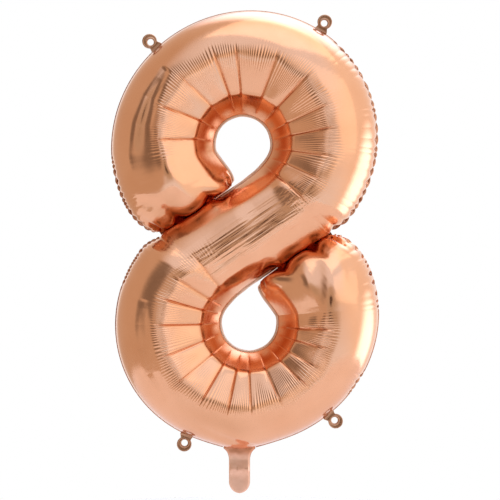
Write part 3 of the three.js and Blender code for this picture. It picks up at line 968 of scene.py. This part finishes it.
def add_tail_valve(name, node):
    """A flat film inside the tail, in many rows."""
    low, high = (np.array(corner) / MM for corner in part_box(node))
    corners = ((low[0], low[1]), (high[0], low[1]), (high[0], high[1]), (low[0], high[1]))
    heights = np.linspace(low[2], high[2], VALVE_ROWS)
    points = np.array([[(x, y, z) for x, y in corners] for z in heights])
    bend_with_tail(closed_strip(name, points), valve_film(), node)


# ---- materials

def new_material(name):
    material = bpy.data.materials.new(name)
    material.use_nodes = True
    tree = material.node_tree
    return material, tree, tree.nodes["Principled BSDF"]


def place_in_object(tree):
    return tree.nodes.new("ShaderNodeTexCoord").outputs["Object"]


def noise(tree, scale, detail, coordinates):
    texture = tree.nodes.new("ShaderNodeTexNoise")
    texture.inputs["Scale"].default_value = scale
    texture.inputs["Detail"].default_value = detail
    tree.links.new(coordinates, texture.inputs["Vector"])
    return texture.outputs["Fac"]


def spread_between(tree, value, low, high):
    ranged = tree.nodes.new("ShaderNodeMapRange")
    ranged.inputs["From Min"].default_value = 0.3
    ranged.inputs["From Max"].default_value = 0.7
    ranged.inputs["To Min"].default_value = low
    ranged.inputs["To Max"].default_value = high
    tree.links.new(value, ranged.inputs["Value"])
    return ranged.outputs["Result"]


def colour_between(tree, value, dark, light):
    ramp = tree.nodes.new("ShaderNodeValToRGB")
    ramp.color_ramp.elements[0].position = 0.35
    ramp.color_ramp.elements[1].position = 0.65
    ramp.color_ramp.elements[0].color = (*dark, 1)
    ramp.color_ramp.elements[1].color = (*light, 1)
    tree.links.new(value, ramp.inputs["Fac"])
    return ramp.outputs["Color"]


def mesh_value(tree, name):
    attribute = tree.nodes.new("ShaderNodeAttribute")
    attribute.attribute_name = name
    return attribute.outputs["Fac"]


def mixed(tree, factor, first, second):
    mix = tree.nodes.new("ShaderNodeMix")
    mix.data_type = "RGBA"
    colours = [socket for socket in mix.inputs if socket.type == "RGBA"]
    tree.links.new(factor, mix.inputs[0])
    for socket, value in zip(colours, (first, second)):
        if isinstance(value, tuple):
            socket.default_value = value
        else:
            tree.links.new(value, socket)
    return next(socket for socket in mix.outputs if socket.type == "RGBA")


def bumped(tree, shader, height, strength, distance):
    bump = tree.nodes.new("ShaderNodeBump")
    bump.inputs["Strength"].default_value = strength
    bump.inputs["Distance"].default_value = distance
    tree.links.new(height, bump.inputs["Height"])
    tree.links.new(bump.outputs["Normal"], shader.inputs["Normal"])


def metal_film(name, dark, light, roughness, scale, bump_distance):
    """Metallised film: colour, haze and a faint unevenness, all from noise in real sizes."""
    material, tree, shader = new_material(name)
    place = place_in_object(tree)
    shader.inputs["Metallic"].default_value = 1.0
    broad = noise(tree, 14, 3, place)
    fine = noise(tree, scale, 4, place)
    tree.links.new(colour_between(tree, broad, dark, light), shader.inputs["Base Color"])
    tree.links.new(spread_between(tree, fine, *roughness), shader.inputs["Roughness"])
    bumped(tree, shader, fine, 0.35, bump_distance)
    return material


def add_painted_shade(tree):
    """Painted shade: the film's colour deepens where the mesh says it lies in a fold."""
    colour = tree.nodes["Principled BSDF"].inputs["Base Color"]
    film = colour.links[0].from_socket
    tree.links.new(mixed(tree, mesh_value(tree, "painted_fold_shade"), film, PAINTED_SHADE_COLOUR), colour)


def add_streaks(tree):
    """Fine streaks drawn out along the waist, over the film's own unevenness."""
    normal = tree.nodes["Principled BSDF"].inputs["Normal"]
    turned = tree.nodes.new("ShaderNodeMapping")
    turned.inputs["Rotation"].default_value = (0, math.radians(SLANT), 0)
    tree.links.new(place_in_object(tree), turned.inputs["Vector"])
    drawn = tree.nodes.new("ShaderNodeMapping")
    drawn.inputs["Scale"].default_value = (0.03, 1, 1)
    tree.links.new(turned.outputs["Vector"], drawn.inputs["Vector"])
    bump = tree.nodes.new("ShaderNodeBump")
    bump.inputs["Distance"].default_value = 0.0024
    tree.links.new(mesh_value(tree, "streaks"), bump.inputs["Strength"])
    tree.links.new(noise(tree, 150, 2, drawn.outputs["Vector"]), bump.inputs["Height"])
    tree.links.new(normal.links[0].from_socket, bump.inputs["Normal"])
    tree.links.new(bump.outputs["Normal"], normal)


@functools.cache
def rose_gold_foil():
    """The panels' film, with painted shade in its folds, and streaked on the waist."""
    material = metal_film("panel_film_painted_shade", (0.82, 0.405, 0.225), (0.85, 0.435, 0.25), (0.13, 0.19), 130, 0.0002)
    add_painted_shade(material.node_tree)
    add_streaks(material.node_tree)
    return material


@functools.cache
def sealed_foil():
    return metal_film("fused_film", (0.42, 0.15, 0.07), (0.62, 0.29, 0.16), (0.25, 0.42), 420, 0.0005)


@functools.cache
def tab_foil():
    return metal_film("tab_film", (0.36, 0.16, 0.085), (0.56, 0.30, 0.18), (0.18, 0.28), 420, 0.0004)


# Painted shade: the webs get a dark film because they lie in a deep cleft.
@functools.cache
def web_painted_shade_foil():
    return metal_film("web_film_painted_shade", (0.22, 0.06, 0.025), (0.36, 0.11, 0.05), (0.4, 0.5), 420, 0.0005)


@functools.cache
def hole_rim_foil():
    return metal_film("hole_rim_film", (0.84, 0.47, 0.30), (0.90, 0.58, 0.43), (0.25, 0.4), 420, 0.0004)


@functools.cache
def tail_foil():
    material = metal_film("tail_film_painted_shade", (0.88, 0.47, 0.31), (0.94, 0.58, 0.43), (0.3, 0.4), 160, 0.00025)
    # Painted shade near the tail's root.
    add_painted_shade(material.node_tree)
    return material


@functools.cache
def valve_film():
    """Clear film, shown as pale cloudy plastic."""
    material, tree, shader = new_material("clear_valve_film")
    cloud = noise(tree, 90, 3, place_in_object(tree))
    colour = colour_between(tree, cloud, (0.78, 0.66, 0.6), (0.88, 0.8, 0.76))
    tree.links.new(colour, shader.inputs["Base Color"])
    tree.links.new(spread_between(tree, cloud, 0.25, 0.45), shader.inputs["Roughness"])
    bumped(tree, shader, cloud, 0.4, 0.0005)
    return material


def pale_floor():
    material, tree, shader = new_material("pale_floor")
    cloud = noise(tree, 3, 2, place_in_object(tree))
    colour = colour_between(tree, cloud, (0.85, 0.84, 0.84), (0.89, 0.88, 0.88))
    tree.links.new(colour, shader.inputs["Base Color"])
    shader.inputs["Roughness"].default_value = 0.9
    return material


def dress_cad_nodes():
    """The webs, tail seals and inner valve films keep their CAD shapes."""
    dressing = {
        "upper_slit_web": web_painted_shade_foil,
        "lower_slit_web": web_painted_shade_foil,
        "tail_left_seal": sealed_foil,
        "tail_right_seal": sealed_foil,
        "inner_valve_front_film": valve_film,
        "inner_valve_back_film": valve_film,
    }
    for node, material in dressing.items():
        piece = frame["nodes"][node]
        piece.data.materials.clear()
        piece.data.materials.append(material())


# ---- stage, light and camera

FLOOR_DROP = 220
FLOOR_RADIUS = 1200
FLOOR_SIDES = 96
ROOM_DIM = (0.66, 0.56, 0.47, 1)
ROOM_BRIGHT = (1.08, 1.08, 1.08, 1)
BACK_WALL = (1.06, 1.06, 1.06, 1)
WHITE = (1, 1, 1, 1)

# Patches of the room that the foil mirrors: direction, where each starts and is full as the dot
# product with it, and colour: floor, ceiling, two lit panels, a dark corner, the camera's side, the camera.
ROOM_PATCHES = (
    ((0.2, -0.62, -0.76), 0.58, 0.97, (0.96, 1.14, 1.42, 1)),
    ((0.1, -0.66, 0.74), 0.62, 0.97, (0.96, 1.12, 1.4, 1)),
    ((0.92, 0.27, -0.30), 0.86, 0.995, (2.6, 2.8, 3.4, 1)),
    ((0.22, 0.58, 0.78), 0.82, 0.99, (2.4, 2.6, 3.3, 1)),
    ((-0.70, -0.66, 0.27), 0.89, 0.99, (0.26, 0.22, 0.19, 1)),
    ((0, -1, 0), 0.86, 0.965, (0.58, 0.53, 0.46, 1)),
    ((0, -1, 0), 0.984, 0.997, (0.08, 0.05, 0.04, 1)),
)

# Area lights: name, place, size and power.
LIGHTS = (
    ("overhead_softbox", (0.5, -0.4, 1.9), (2.4, 2.0), 9),
    ("front_right_softbox", (2.0, -1.9, 0.5), (2.6, 2.2), 5),
)
LIGHT_TARGET = (0.0, 0.0, -0.42)
LIGHT_COLOUR = (1.0, 0.97, 0.90)

LENS = 100
SENSOR_WIDTH = 36
VIEW_WIDTH = 0.975  # metres across the picture in the seam plane
CAMERA_TARGET = (0.0234, 0.0, -0.4241)


def add_floor():
    """A round pale floor under the balloon's tail."""
    low, high = (np.array(corner) / MM for corner in cad_bounds)
    middle = (low[0] + high[0]) / 2
    angles = np.linspace(0, 2 * math.pi, FLOOR_SIDES, endpoint=False)
    x = middle + FLOOR_RADIUS * np.cos(angles)
    rim = np.stack([x, FLOOR_RADIUS * np.sin(angles), np.full(FLOOR_SIDES, low[2] - FLOOR_DROP)], axis=1)
    floor = mesh_object("floor", rim, [list(range(FLOOR_SIDES))])
    floor.data.materials.append(pale_floor())


def aim(thing, target):
    way = Vector(target) - Vector(thing.location)
    thing.rotation_euler = way.to_track_quat("-Z", "Y").to_euler()


def add_lights():
    for name, place, size, power in LIGHTS:
        light = bpy.data.lights.new(name, "AREA")
        light.shape = "RECTANGLE"
        light.size, light.size_y = size
        light.energy = power
        light.color = LIGHT_COLOUR
        lamp = bpy.data.objects.new(name, light)
        bpy.context.scene.collection.objects.link(lamp)
        lamp.location = place
        lamp.visible_camera = False
        aim(lamp, LIGHT_TARGET)


def towards(tree, direction, way, low, high):
    """0 to 1 as a direction turns towards way, from where their dot product is low to where it is high."""
    dot = tree.nodes.new("ShaderNodeVectorMath")
    dot.operation = "DOT_PRODUCT"
    dot.inputs[1].default_value = way
    tree.links.new(direction, dot.inputs[0])
    ramp = tree.nodes.new("ShaderNodeMapRange")
    ramp.interpolation_type = "SMOOTHSTEP"
    ramp.inputs["From Min"].default_value = low
    ramp.inputs["From Max"].default_value = high
    tree.links.new(dot.outputs["Value"], ramp.inputs["Value"])
    return ramp.outputs["Result"]


def add_world():
    """A pale room, brighter to the right, that the foil mirrors. The camera sees plain white."""
    world = bpy.data.worlds.new("studio")
    bpy.context.scene.world = world
    world.use_nodes = True
    tree = world.node_tree
    direction = tree.nodes.new("ShaderNodeTexCoord").outputs["Generated"]
    colour = mixed(tree, towards(tree, direction, (0.97, 0.2, 0.1), -0.6, 0.75), ROOM_DIM, ROOM_BRIGHT)
    for way, low, high, patch in ROOM_PATCHES:
        colour = mixed(tree, towards(tree, direction, way, low, high), colour, patch)
    colour = mixed(tree, towards(tree, direction, (0, 1, 0), 0.8, 0.95), colour, BACK_WALL)
    mirrored = tree.nodes["Background"]
    tree.links.new(colour, mirrored.inputs["Color"])
    plain = tree.nodes.new("ShaderNodeBackground")
    plain.inputs["Color"].default_value = WHITE
    either = tree.nodes.new("ShaderNodeMixShader")
    tree.links.new(tree.nodes.new("ShaderNodeLightPath").outputs["Is Camera Ray"], either.inputs[0])
    tree.links.new(mirrored.outputs["Background"], either.inputs[1])
    tree.links.new(plain.outputs["Background"], either.inputs[2])
    tree.links.new(either.outputs["Shader"], tree.nodes["World Output"].inputs["Surface"])


def add_camera():
    """A long lens square to the front."""
    camera = bpy.data.cameras.new("camera")
    camera.lens = LENS
    camera.sensor_width = SENSOR_WIDTH
    holder = bpy.data.objects.new("camera", camera)
    bpy.context.scene.collection.objects.link(holder)
    distance = VIEW_WIDTH * LENS / SENSOR_WIDTH
    holder.location = (CAMERA_TARGET[0], -distance, CAMERA_TARGET[2])
    aim(holder, CAMERA_TARGET)
    bpy.context.scene.camera = holder


add_camera()
add_world()
add_lights()
add_floor()
bpy.context.scene.view_settings.view_transform = "Standard"
add_panel("front_foil", -1, "front_foil_panel")
add_panel("back_foil", 1, "back_foil_panel")
add_outer_seals()
add_hole_seals()
for corner in ("upper_left", "upper_right", "lower_left", "lower_right"):
    add_tab(corner)
add_tail_film("tail_front", -1, "tail_front_film")
add_tail_film("tail_back", 1, "tail_back_film")
add_tail_valve("tail_valve_front", "tail_valve_front_film")
add_tail_valve("tail_valve_back", "tail_valve_back_film")
dress_cad_nodes()
